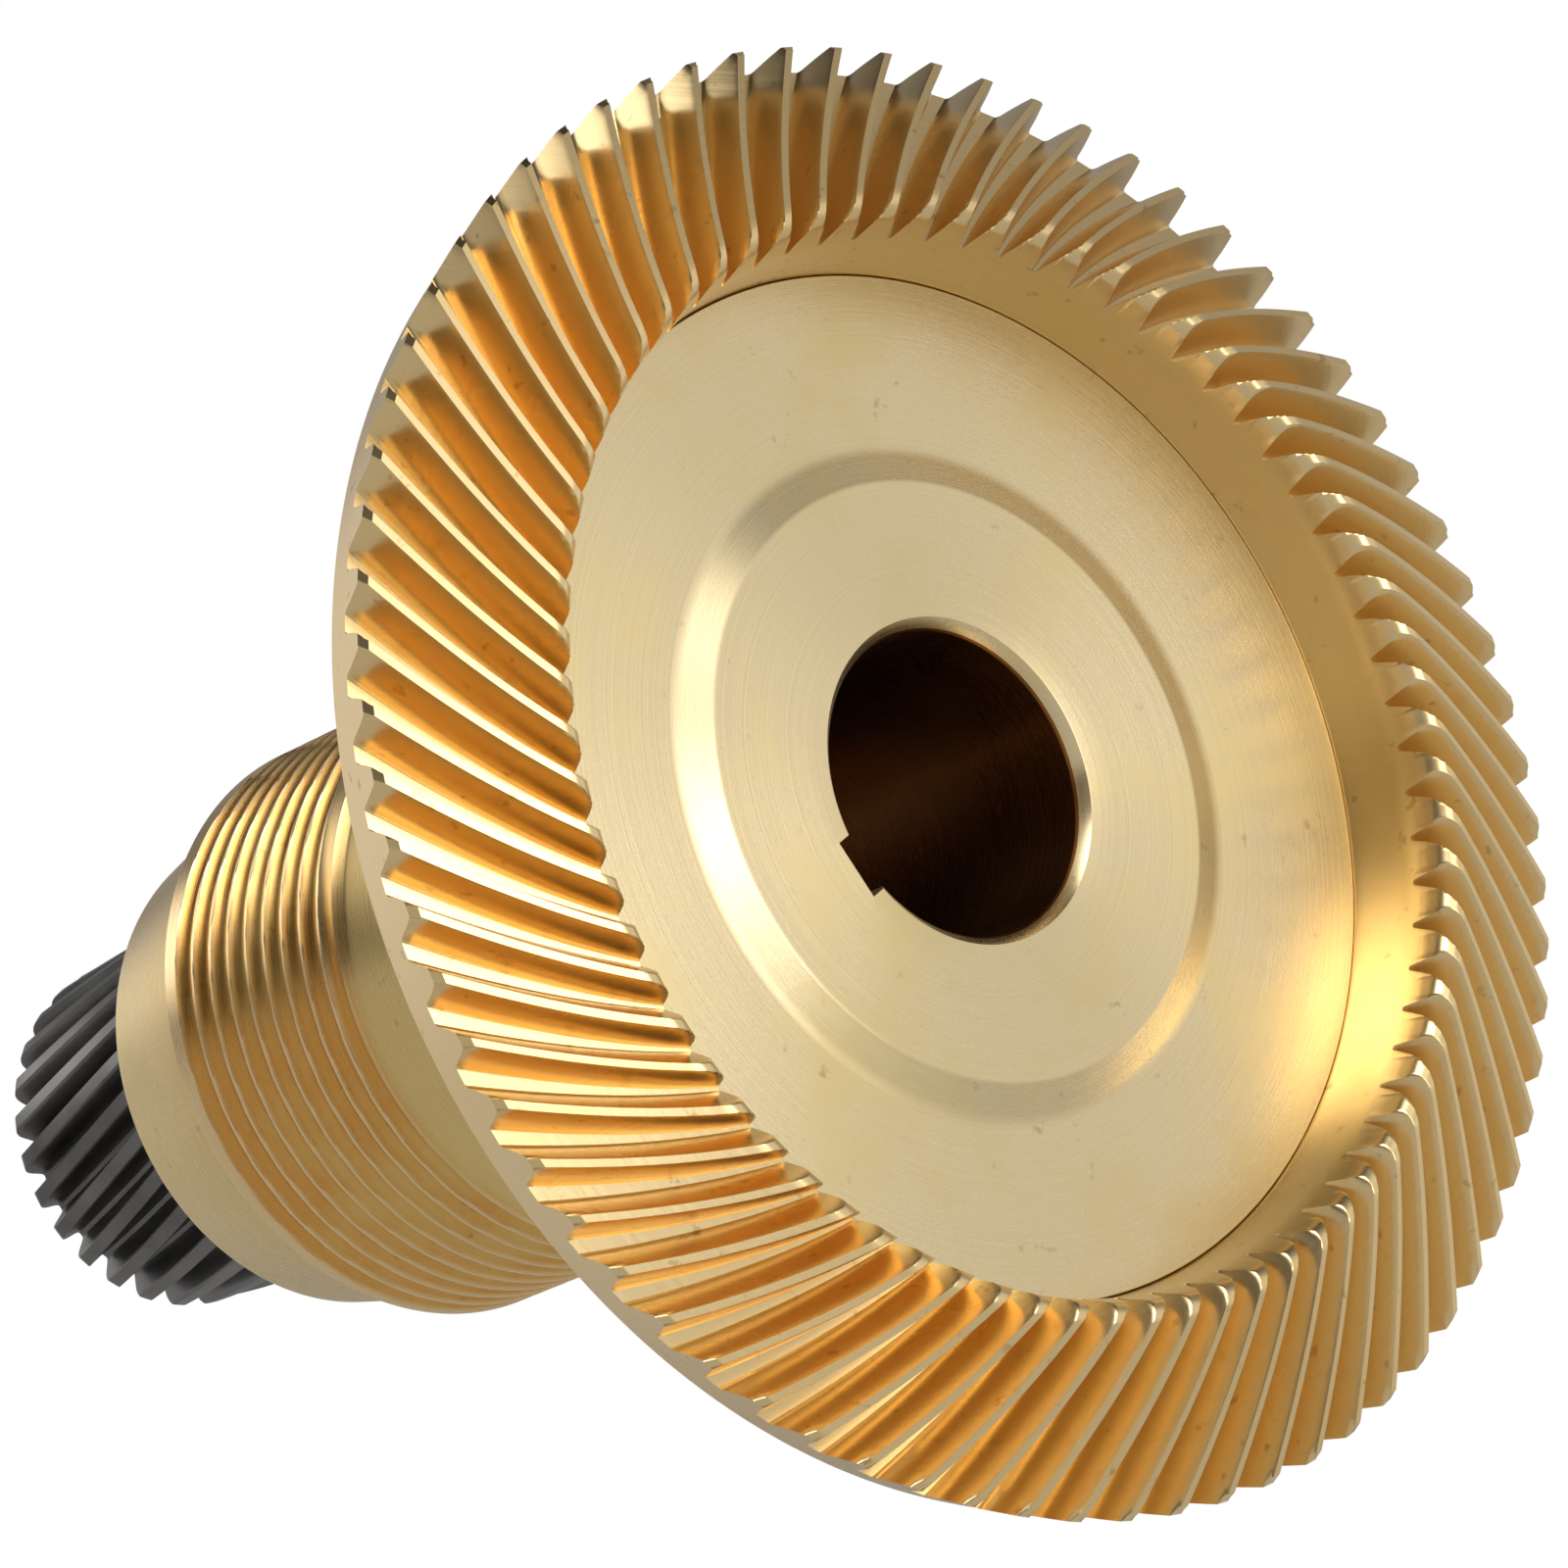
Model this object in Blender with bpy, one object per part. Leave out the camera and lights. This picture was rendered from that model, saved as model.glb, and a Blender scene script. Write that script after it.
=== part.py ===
"""Worm gear set: a keyed bronze crown gear and threaded hub, with a steel helical pinion behind it.

Everything turns about the Y axis. The gear's front faces -Y, and the origin is the centre of the
bore where it meets the front face of the boss. Profiles are lists of (radius, y) in millimetres.
"""

import math

import bmesh
import bpy
from mathutils import Matrix, Vector

MM = 0.001

# Facets round a turned part
HUB_SEGMENTS = 48
SMALL_SEGMENTS = 32

# Fits
GAP = 0.3                     # between touching pieces
RUNNING_GAP = 0.3             # radial, between a bearing surface and what turns in it

# Crown gear teeth
CROWN_TEETH = 72
CROWN_TIP_RADIUS = 96.4       # outermost point of the teeth
CROWN_TIP_Y = -4.3
FACE_WIDTH = 27.0             # tooth length along the face cone
FACE_SLOPE = math.radians(20.0)
TOOTH_DEPTH = 6.1
LAND_WIDTH = 1.26             # across the top of a tooth, measured round the gear
FLANK_SLOPE = 0.338           # widening of each flank per unit of depth, round the gear
SPIRAL_TURN = 13.8            # degrees that a tooth turns from its inner to its outer end
SPIRAL_BEND = 2.4             # how much faster it turns at the inner end
CROWN_PHASE = 2.4             # degrees, inner end of the first tooth
TOOTH_STEPS = 3               # lengths that each tooth is built from

# Crown gear body
WEB_RADIUS = 67.3             # seam between the hub's web and the gear ring
WEB_Y = 1.9                   # front of the web, behind the boss face
BACK_CONE_LENGTH = 12.4
RING_BACK_Y = 15.0
RING_BACK_RADIUS = 80.0

# Hub
BORE_RADIUS = 20.0
BORE_CHAMFER = 1.5
KEYWAY_WIDTH = 8.0
KEYWAY_DEPTH = 3.2
KEYWAY_ANGLE = 223.4
KEYWAY_LENGTH = 58.0
BOSS_RADIUS = 39.3
BOSS_FOOT_RADIUS = 44.1
WEB_BACK_Y = 12.5
SHOULDER_RADIUS = 74.0
SHOULDER_BACK_Y = 20.0
NECK_RADIUS = 38.6
NECK_START_Y = 34.0
THREAD_RADIUS = 40.0
THREAD_DEPTH = 1.3
THREAD_PITCH = 4.0
THREAD_START_Y = 80.6
THREAD_TURNS = 9
END_LAND_RADIUS = 37.6
END_NOSE_RADIUS = 33.0
HUB_END_Y = 138.6

# Bearings inside the hub
SPINDLE_RADIUS = 13.0
BUSH_LENGTH = 30.0
FRONT_BUSH_Y = 67.5
REAR_BUSH_Y = 108.3
WASHER_THICKNESS = 2.0
SPINDLE_FRONT_Y = 60.5
GROOVE_Y = 63.4
GROOVE_RADIUS = 11.6
CIRCLIP_THICKNESS = 1.5
CIRCLIP_OUTER_RADIUS = 15.8
CIRCLIP_OPENING = 40.0        # degrees

# Pinion and what holds it on the spindle
PINION_TEETH = 28
PINION_FRONT_Y = 141.4
PINION_BACK_Y = 176.0
PINION_FRONT_RADIUS = 26.6
PINION_BACK_RADIUS = 24.4
PINION_TOOTH_DEPTH = 3.6
PINION_LAND_HALF = 0.17       # of the tooth pitch
PINION_ROOT_HALF = 0.36
PINION_TURN = 22.0            # degrees that a tooth turns along the pinion
SEAT_RADIUS = 10.5
SEAT_END_Y = 172.0
KEY_SIZE = 6.0
KEY_LENGTH = 20.0
KEY_Y = 146.0
KEY_DEPTH_IN_SPINDLE = 3.5
SCREW_RADIUS = 4.0
SCREW_HEAD_RADIUS = 6.5
SCREW_HEAD_HEIGHT = 8.0
SCREW_REACH = 18.0
SOCKET_RADIUS = 3.4
SOCKET_DEPTH = 4.0
END_WASHER_RADIUS = 15.0
END_WASHER_THICKNESS = 3.0

BRONZE = (0.80, 0.60, 0.30, 1.0)
HUB_BRONZE = (0.80, 0.66, 0.40, 1.0)
BUSH_BRONZE = (0.62, 0.42, 0.20, 1.0)
DARK_STEEL = (0.10, 0.09, 0.085, 1.0)
GROUND_STEEL = (0.55, 0.55, 0.56, 1.0)
BLACK_STEEL = (0.06, 0.06, 0.065, 1.0)


def clear_scene():
    for obj in list(bpy.data.objects):
        bpy.data.objects.remove(obj, do_unlink=True)


def metal(name, color, roughness):
    material = bpy.data.materials.new(name)
    material.use_nodes = True
    shader = material.node_tree.nodes["Principled BSDF"]
    shader.inputs["Base Color"].default_value = color
    shader.inputs["Metallic"].default_value = 1.0
    shader.inputs["Roughness"].default_value = roughness
    return material


def point(radius, degrees, y):
    """A point in metres at that radius and angle about the Y axis, seen from the front."""
    angle = math.radians(degrees)
    return Vector((radius * math.cos(angle), y, radius * math.sin(angle))) * MM


def new_object(name, bm, material, smooth=True):
    bmesh.ops.recalc_face_normals(bm, faces=bm.faces)
    mesh = bpy.data.meshes.new(name)
    bm.to_mesh(mesh)
    bm.free()
    obj = bpy.data.objects.new(name, mesh)
    bpy.context.collection.objects.link(obj)
    obj.data.materials.append(material)
    if smooth:
        mesh.shade_smooth()
        mesh.set_sharp_from_angle(angle=math.radians(30.0))
    return obj


def loft(name, loops, material, closed=True, shift=0):
    """Joins rings of points. A closed loft ends where it began, turned on by shift points."""
    bm = bmesh.new()
    rings = [[bm.verts.new(p) for p in loop] for loop in loops]
    pairs = list(zip(rings, rings[1:]))
    if closed:
        last = rings[0][-shift:] + rings[0][:-shift] if shift else rings[0]
        pairs.append((rings[-1], last))
    for ring, following in pairs:
        count = len(ring)
        for i in range(count):
            j = (i + 1) % count
            bm.faces.new((ring[i], ring[j], following[j], following[i]))
    if not closed:
        bm.faces.new(rings[0])
        bm.faces.new(rings[-1])
    return new_object(name, bm, material)


def turned(name, profile, material, segments, closed=True):
    """A lathe part from its (radius, y) profile. An open profile is capped at both ends."""
    step = 360.0 / segments
    loops = [[point(r, i * step, y) for i in range(segments)] for r, y in profile]
    return loft(name, loops, material, closed)


def block(name, size, centre, degrees):
    """A box of (across, along Y, out) size, centred that far out from the axis at that angle."""
    bm = bmesh.new()
    bmesh.ops.create_cube(bm, size=1.0)
    bmesh.ops.scale(bm, vec=Vector(size) * MM, verts=bm.verts)
    out, y = centre
    bmesh.ops.translate(bm, vec=Vector((0.0, y, out)) * MM, verts=bm.verts)
    turn = Matrix.Rotation(math.radians(90.0 - degrees), 4, "Y")
    bmesh.ops.transform(bm, matrix=turn, verts=bm.verts)
    return bm


def cut(obj, cutter_name, bm):
    """Takes the cutter's shape out of the object."""
    mesh = bpy.data.meshes.new(cutter_name)
    bmesh.ops.recalc_face_normals(bm, faces=bm.faces)
    bm.to_mesh(mesh)
    bm.free()
    cutter = bpy.data.objects.new(cutter_name, mesh)
    bpy.context.collection.objects.link(cutter)
    cutter.hide_render = True
    cutter.display_type = "WIRE"
    modifier = obj.modifiers.new(cutter_name, "BOOLEAN")
    modifier.operation = "DIFFERENCE"
    modifier.object = cutter


# Crown gear

def crown_angles(along, half_width, radius):
    """The four angles of every tooth at a distance 0 to 1 along it: root, land, land, root."""
    turn = SPIRAL_TURN * along + SPIRAL_BEND * along * (1.0 - along)
    land = math.degrees(LAND_WIDTH / 2.0 / radius)
    foot = math.degrees(half_width / radius)
    angles = []
    for tooth in range(CROWN_TEETH):
        middle = CROWN_PHASE - turn + tooth * 360.0 / CROWN_TEETH
        angles += [middle - foot, middle - land, middle + land, middle + foot]
    return angles


def crown_loop(along):
    """One ring of points across all the teeth: down the root, up to the land and back."""
    slant = FACE_WIDTH * (1.0 - along)
    tip_radius = CROWN_TIP_RADIUS - slant * math.cos(FACE_SLOPE)
    tip_y = CROWN_TIP_Y - slant * math.sin(FACE_SLOPE)
    root_radius = tip_radius - TOOTH_DEPTH * math.sin(FACE_SLOPE)
    root_y = tip_y + TOOTH_DEPTH * math.cos(FACE_SLOPE)
    half_width = LAND_WIDTH / 2.0 + TOOTH_DEPTH * FLANK_SLOPE
    points = []
    for i, angle in enumerate(crown_angles(along, half_width, root_radius)):
        on_land = i % 4 in (1, 2)
        radius, y = (tip_radius, tip_y) if on_land else (root_radius, root_y)
        points.append(point(radius, angle, y))
    return points


def plain_loop(radius, y, along):
    """A ring of points with the same angles as the teeth at that distance along them."""
    half_width = LAND_WIDTH / 2.0 + TOOTH_DEPTH * FLANK_SLOPE
    root_radius = CROWN_TIP_RADIUS - TOOTH_DEPTH * math.sin(FACE_SLOPE)
    root_radius -= FACE_WIDTH * (1.0 - along) * math.cos(FACE_SLOPE)
    return [point(radius, angle, y) for angle in crown_angles(along, half_width, root_radius)]


def crown_gear_ring(material):
    """The toothed ring, shrunk onto the hub's web and seated against the shoulder behind it."""
    back_radius = CROWN_TIP_RADIUS - BACK_CONE_LENGTH * math.sin(FACE_SLOPE)
    back_y = CROWN_TIP_Y + BACK_CONE_LENGTH * math.cos(FACE_SLOPE)
    loops = [crown_loop(i / TOOTH_STEPS) for i in range(TOOTH_STEPS + 1)]
    loops.append(plain_loop(back_radius, back_y, 1.0))
    loops.append(plain_loop(RING_BACK_RADIUS, RING_BACK_Y, 1.0))
    loops.append(plain_loop(SHOULDER_RADIUS + GAP, RING_BACK_Y, 1.0))
    loops.append(plain_loop(SHOULDER_RADIUS + GAP, WEB_BACK_Y - GAP, 1.0))
    loops.append(plain_loop(WEB_RADIUS + GAP, WEB_BACK_Y - GAP, 1.0))
    loops.append(plain_loop(WEB_RADIUS + GAP, WEB_Y, 1.0))
    teeth_turned = round(SPIRAL_TURN * CROWN_TEETH / 360.0)
    return loft("crown_gear_ring", loops, material, shift=4 * teeth_turned)


# Hub

def thread_profile():
    """Grooves of one pitch each, with a narrow crest between them."""
    crest = THREAD_PITCH * 0.12
    bottom = THREAD_PITCH * 0.28
    points = []
    for turn in range(THREAD_TURNS):
        y = THREAD_START_Y + turn * THREAD_PITCH
        points.append((THREAD_RADIUS, y))
        points.append((THREAD_RADIUS - THREAD_DEPTH, y + bottom))
        points.append((THREAD_RADIUS - THREAD_DEPTH, y + THREAD_PITCH - crest - bottom))
        points.append((THREAD_RADIUS, y + THREAD_PITCH - crest))
    return points


def hub(material):
    """Web, boss, neck and external thread in one turned piece, bored right through."""
    thread_end = THREAD_START_Y + THREAD_TURNS * THREAD_PITCH
    profile = [
        (BORE_RADIUS, BORE_CHAMFER),
        (BORE_RADIUS + BORE_CHAMFER, 0.0),
        (BOSS_RADIUS, 0.0),
        (BOSS_FOOT_RADIUS, WEB_Y),
        (WEB_RADIUS, WEB_Y),
        (WEB_RADIUS, WEB_BACK_Y),
        (SHOULDER_RADIUS, WEB_BACK_Y),
        (SHOULDER_RADIUS, SHOULDER_BACK_Y),
        (NECK_RADIUS + 9.0, NECK_START_Y - 9.0),
        (NECK_RADIUS + 2.6, NECK_START_Y - 4.5),
        (NECK_RADIUS, NECK_START_Y + 4.0),
        (NECK_RADIUS, THREAD_START_Y - 1.0),
    ]
    profile += thread_profile()
    profile += [
        (THREAD_RADIUS, thread_end),
        (END_LAND_RADIUS, thread_end + 1.2),
        (END_NOSE_RADIUS, HUB_END_Y),
        (BORE_RADIUS + BORE_CHAMFER, HUB_END_Y),
        (BORE_RADIUS, HUB_END_Y - BORE_CHAMFER),
    ]
    obj = turned("threaded_hub", profile, material, HUB_SEGMENTS)
    size = (KEYWAY_WIDTH, KEYWAY_LENGTH + 2.0, KEYWAY_DEPTH + 4.0)
    centre = (BORE_RADIUS + KEYWAY_DEPTH - size[2] / 2.0, KEYWAY_LENGTH - size[1] / 2.0)
    cut(obj, "hub_keyway_cutter", block("hub_keyway", size, centre, KEYWAY_ANGLE))
    return obj


# Bearings

def bush(name, y, material):
    inner = SPINDLE_RADIUS + RUNNING_GAP
    outer = BORE_RADIUS - GAP
    edge = 0.8
    profile = [
        (inner, y),
        (outer - edge, y),
        (outer, y + edge),
        (outer, y + BUSH_LENGTH - edge),
        (outer - edge, y + BUSH_LENGTH),
        (inner, y + BUSH_LENGTH),
    ]
    return turned(name, profile, material, SMALL_SEGMENTS)


def washer(name, inner, outer, y, thickness, material):
    profile = [(inner, y), (outer, y), (outer, y + thickness), (inner, y + thickness)]
    return turned(name, profile, material, SMALL_SEGMENTS)


def retaining_ring(material):
    """An open ring that snaps into the groove at the spindle's front end."""
    inner = GROOVE_RADIUS + GAP
    back = GROOVE_Y + CIRCLIP_THICKNESS
    steps = 28
    first = CIRCLIP_OPENING / 2.0
    step = (360.0 - CIRCLIP_OPENING) / steps
    corners = [(inner, GROOVE_Y), (CIRCLIP_OUTER_RADIUS, GROOVE_Y), (CIRCLIP_OUTER_RADIUS, back), (inner, back)]
    loops = [[point(r, first + i * step, y) for r, y in corners] for i in range(steps + 1)]
    return loft("retaining_ring", loops, material, closed=False)


# Spindle and pinion

def spindle(material):
    """Journal, pinion seat and tapped end, with a groove for the retaining ring."""
    groove_front = GROOVE_Y - GAP
    groove_back = GROOVE_Y + CIRCLIP_THICKNESS + GAP
    hole = SCREW_RADIUS + GAP
    profile = [
        (SPINDLE_RADIUS - 1.0, SPINDLE_FRONT_Y),
        (SPINDLE_RADIUS, SPINDLE_FRONT_Y + 1.0),
        (SPINDLE_RADIUS, groove_front),
        (GROOVE_RADIUS, groove_front),
        (GROOVE_RADIUS, groove_back),
        (SPINDLE_RADIUS, groove_back),
        (SPINDLE_RADIUS, PINION_FRONT_Y - GAP),
        (SEAT_RADIUS, PINION_FRONT_Y - GAP),
        (SEAT_RADIUS, SEAT_END_Y),
        (hole, SEAT_END_Y),
        (hole, PINION_BACK_Y - SCREW_REACH - 2.0),
    ]
    obj = turned("pinion_spindle", profile, material, SMALL_SEGMENTS, closed=False)
    size = (KEY_SIZE + 2.0 * GAP, KEY_LENGTH + 2.0 * GAP, KEY_DEPTH_IN_SPINDLE + 4.0)
    centre = (SEAT_RADIUS - KEY_DEPTH_IN_SPINDLE - GAP + size[2] / 2.0, KEY_Y + KEY_LENGTH / 2.0)
    cut(obj, "spindle_slot_cutter", block("spindle_slot", size, centre, 90.0))
    return obj


def pinion_key(material):
    size = (KEY_SIZE, KEY_LENGTH, KEY_SIZE)
    centre = (SEAT_RADIUS - KEY_DEPTH_IN_SPINDLE + KEY_SIZE / 2.0, KEY_Y + KEY_LENGTH / 2.0)
    return new_object("pinion_key", block("key", size, centre, 90.0), material, smooth=False)


def pinion_loop(along):
    """One ring of points across the pinion's teeth, at a distance 0 to 1 along it."""
    land = PINION_FRONT_RADIUS + (PINION_BACK_RADIUS - PINION_FRONT_RADIUS) * along
    root = land - PINION_TOOTH_DEPTH
    y = PINION_FRONT_Y + (PINION_BACK_Y - PINION_FRONT_Y) * along
    pitch = 360.0 / PINION_TEETH
    outline = (
        (-PINION_ROOT_HALF, root),
        (-PINION_LAND_HALF, land),
        (PINION_LAND_HALF, land),
        (PINION_ROOT_HALF, root),
    )
    points = []
    for tooth in range(PINION_TEETH):
        middle = tooth * pitch + PINION_TURN * along
        points += [point(radius, middle + part * pitch, y) for part, radius in outline]
    return points


def plain_pinion_loop(radius, along):
    y = PINION_FRONT_Y + (PINION_BACK_Y - PINION_FRONT_Y) * along
    return [point(radius, math.degrees(math.atan2(p.z, p.x)), y) for p in pinion_loop(along)]


def helical_pinion(material):
    """Slightly tapered helical pinion, bored and keyed for the spindle's seat."""
    bore = SEAT_RADIUS + GAP
    loops = [plain_pinion_loop(bore, 0.0)]
    loops += [pinion_loop(along) for along in (0.0, 0.5, 1.0)]
    loops.append(plain_pinion_loop(bore, 1.0))
    teeth_turned = round(PINION_TURN * PINION_TEETH / 360.0)
    obj = loft("helical_pinion", loops, material, shift=-4 * teeth_turned)
    size = (KEY_SIZE + 2.0 * GAP, PINION_BACK_Y - PINION_FRONT_Y + 2.0, 6.0)
    top = SEAT_RADIUS - KEY_DEPTH_IN_SPINDLE + KEY_SIZE + GAP
    centre = (top - size[2] / 2.0, (PINION_FRONT_Y + PINION_BACK_Y) / 2.0)
    cut(obj, "pinion_keyway_cutter", block("pinion_keyway", size, centre, 90.0))
    return obj


def end_screw(material):
    """Socket head screw that draws the pinion against the spindle's shoulder."""
    head_y = PINION_BACK_Y + 2.0 * GAP + END_WASHER_THICKNESS
    profile = [
        (SCREW_RADIUS - 0.8, PINION_BACK_Y - SCREW_REACH),
        (SCREW_RADIUS, PINION_BACK_Y - SCREW_REACH + 0.8),
        (SCREW_RADIUS, head_y),
        (SCREW_HEAD_RADIUS, head_y),
        (SCREW_HEAD_RADIUS, head_y + SCREW_HEAD_HEIGHT - 0.6),
        (SCREW_HEAD_RADIUS - 0.6, head_y + SCREW_HEAD_HEIGHT),
        (SOCKET_RADIUS, head_y + SCREW_HEAD_HEIGHT),
        (SOCKET_RADIUS, head_y + SCREW_HEAD_HEIGHT - SOCKET_DEPTH),
    ]
    return turned("pinion_screw", profile, material, SMALL_SEGMENTS, closed=False)


def main():
    clear_scene()
    crown_gear_ring(metal("crown_bronze", BRONZE, 0.25))
    hub(metal("hub_bronze", HUB_BRONZE, 0.28))
    bush_bronze = metal("bush_bronze", BUSH_BRONZE, 0.4)
    bush("front_bush", FRONT_BUSH_Y, bush_bronze)
    bush("rear_bush", REAR_BUSH_Y, bush_bronze)
    ground_steel = metal("ground_steel", GROUND_STEEL, 0.25)
    black_steel = metal("black_steel", BLACK_STEEL, 0.4)
    washer_inner = SPINDLE_RADIUS + RUNNING_GAP
    front_washer_y = GROOVE_Y + CIRCLIP_THICKNESS + GAP
    washer("front_thrust_washer", washer_inner, 18.5, front_washer_y, WASHER_THICKNESS, ground_steel)
    rear_washer_y = HUB_END_Y + GAP
    washer("rear_thrust_washer", washer_inner, 24.0, rear_washer_y, WASHER_THICKNESS, ground_steel)
    retaining_ring(black_steel)
    spindle(ground_steel)
    pinion_key(ground_steel)
    helical_pinion(metal("pinion_steel", DARK_STEEL, 0.4))
    end_washer_y = PINION_BACK_Y + GAP
    hole = SCREW_RADIUS + GAP
    washer("pinion_end_washer", hole, END_WASHER_RADIUS, end_washer_y, END_WASHER_THICKNESS, black_steel)
    end_screw(black_steel)


main()
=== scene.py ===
"""Looks of the worm gear set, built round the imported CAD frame.

Profiles and sizes are in millimetres, and points in metres. The shaft axis is Y, the gear's front
faces -Y, and angles run round from +X as seen from the front.
"""

import math

import bmesh
import bpy
import numpy as np
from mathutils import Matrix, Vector


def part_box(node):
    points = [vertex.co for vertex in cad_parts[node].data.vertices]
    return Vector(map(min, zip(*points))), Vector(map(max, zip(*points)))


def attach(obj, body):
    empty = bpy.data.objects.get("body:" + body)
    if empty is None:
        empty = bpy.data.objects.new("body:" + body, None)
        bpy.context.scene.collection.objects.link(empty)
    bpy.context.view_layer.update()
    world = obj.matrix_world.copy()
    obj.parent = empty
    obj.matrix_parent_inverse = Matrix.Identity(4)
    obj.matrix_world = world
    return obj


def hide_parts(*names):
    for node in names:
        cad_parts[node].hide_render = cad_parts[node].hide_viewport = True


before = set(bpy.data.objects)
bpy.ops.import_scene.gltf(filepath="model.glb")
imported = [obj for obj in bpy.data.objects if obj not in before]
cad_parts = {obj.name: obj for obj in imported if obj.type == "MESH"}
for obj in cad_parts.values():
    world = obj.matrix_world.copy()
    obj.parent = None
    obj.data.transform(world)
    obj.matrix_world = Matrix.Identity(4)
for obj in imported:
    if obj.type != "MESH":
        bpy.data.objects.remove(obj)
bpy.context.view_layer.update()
MM = 0.001


def box_mm(node):
    low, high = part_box(node)
    return [v / MM for v in low], [v / MM for v in high]


# Sizes that come from the frame

RING_LOW, RING_HIGH = box_mm("crown_gear_ring")
PINION_LOW, PINION_HIGH = box_mm("helical_pinion")

GAP = 0.3
SEAM = 0.12

# Crown gear teeth
TEETH = 72
TIP_RADIUS = RING_HIGH[0]
FACE_WIDTH = 27.0
FACE_SLOPE = math.radians(20.0)
TIP_Y = RING_LOW[1] + FACE_WIDTH * math.sin(FACE_SLOPE)
TOOTH_DEPTH = 6.1
LAND_WIDTH = 1.26
FLANK_SLOPE = 0.338
FLANK_BULGE = 0.07
SPIRAL_TURN = 13.8
SPIRAL_BEND = 2.4
CROWN_PHASE = 2.4
TOE_ROUND = 2.6
HEEL_CHAMFER = 1.1
BACK_CONE_LENGTH = 12.4

# Hub
BORE_RADIUS = 20.0
BORE_CHAMFER = 1.5
BOSS_RADIUS = 39.3
BOSS_FOOT_RADIUS = 44.1
WEB_Y = 1.9
WEB_RADIUS = 67.3
WEB_BACK_Y = 12.5
SHOULDER_RADIUS = 74.0
SHOULDER_BACK_Y = 20.0
RING_BACK_RADIUS = 80.0
KEYWAY_WIDTH = 8.0
KEYWAY_DEPTH = 3.2
KEYWAY_ANGLE = 223.4
KEYWAY_LENGTH = 58.0
NECK_RADIUS = 38.6
THREAD_RADIUS = 40.0
THREAD_DEPTH = 1.3
THREAD_PITCH = 4.0
THREAD_START_Y = 80.6
THREAD_TURNS = 9
END_LAND_RADIUS = 37.6
END_NOSE_RADIUS = 33.0
HUB_END_Y = box_mm("threaded_hub")[1][1]

# Pinion
PINION_TEETH = 28
PINION_FRONT_RADIUS = 26.6
PINION_BACK_RADIUS = 24.4
PINION_TOOTH_DEPTH = 3.6
PINION_TURN = 22.0
SEAT_RADIUS = 10.5
KEY_SIZE = 6.0
KEY_TOP = box_mm("pinion_key")[1][2]
INNER_BORE_RADIUS = 13.3

# Spindle, clip and screw
CLIP_RADII = (11.9, 13.85, 15.8)
CLIP_GROOVE_Y = 63.4
CLIP_GROOVE_WIDTH = 1.6
CLIP_GROOVE_RADIUS = 11.6
RELIEF_START_Y = 98.7
RELIEF_END_Y = 107.3
RELIEF_DEPTH = 0.4
TAPPED_RADIUS = 4.3
TAPPED_DEPTH = 20.0
SCREW_HEAD_RADIUS = 6.5
SCREW_HEAD_HEIGHT = 8.0
SCREW_RADIUS = 4.0
SCREW_PITCH = 1.0
HEXAGON_HALF_WIDTH = 2.95


# Meshes

def ring_points(radius, degrees, y):
    """Points in metres from arrays of radius, angle and y."""
    angle = np.radians(degrees)
    level = y * np.ones_like(angle)
    return np.stack([radius * np.cos(angle), level, radius * np.sin(angle)], -1) * MM


def smooth(value):
    value = np.clip(value, 0.0, 1.0)
    return value * value * (3.0 - 2.0 * value)


def mesh_object(name, points, faces, sharp=35.0):
    mesh = bpy.data.meshes.new(name)
    mesh.from_pydata(points, [], faces)
    mesh.validate()
    mesh.update()
    mesh.shade_smooth()
    mesh.set_sharp_from_angle(angle=math.radians(sharp))
    obj = bpy.data.objects.new(name, mesh)
    bpy.context.collection.objects.link(obj)
    return obj


def loft(name, rows, closed=True, shift=0, sharp=35.0):
    """Joins rings of points, given as an array of rings. A closed loft ends where it began."""
    rows = np.asarray(rows, float)
    count, around = rows.shape[:2]
    index = np.arange(count * around).reshape(count, around)
    if closed:
        index = np.vstack([index, np.roll(index[:1], shift, axis=1)])
    here = index[:-1]
    ahead = index[1:]
    faces = np.stack([here, ahead, np.roll(ahead, -1, 1), np.roll(here, -1, 1)], -1).reshape(-1, 4)
    faces = faces.tolist()
    if not closed:
        faces.append(index[0].tolist())
        faces.append(index[-1][::-1].tolist())
    return mesh_object(name, rows.reshape(-1, 3).tolist(), faces, sharp)


def rounded(profile, radius, steps=4):
    """Rounds each corner of an open (radius, y) outline that has an entry in radius."""
    points = [np.array(p, float) for p in profile]
    result = [points[0]]
    for i in range(1, len(points) - 1):
        size = radius.get(i, 0.0)
        if not size:
            result.append(points[i])
            continue
        before = points[i - 1] - points[i]
        after = points[i + 1] - points[i]
        start = points[i] + before / np.linalg.norm(before) * size
        end = points[i] + after / np.linalg.norm(after) * size
        for k in range(steps + 1):
            t = k / steps
            result.append((1 - t) ** 2 * start + 2 * t * (1 - t) * points[i] + t ** 2 * end)
    result.append(points[-1])
    return [tuple(p) for p in result]


def turned(name, profile, segments=128, closed=True, sharp=35.0):
    angles = np.arange(segments) * 360.0 / segments
    rows = [ring_points(np.full(segments, r), angles, y) for r, y in profile]
    return loft(name, rows, closed, sharp=sharp)


def outward(obj):
    """Turns the faces of a closed mesh outward."""
    bm = bmesh.new()
    bm.from_mesh(obj.data)
    bmesh.ops.recalc_face_normals(bm, faces=bm.faces)
    bm.to_mesh(obj.data)
    bm.free()
    return obj


# Crown gear ring

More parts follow.
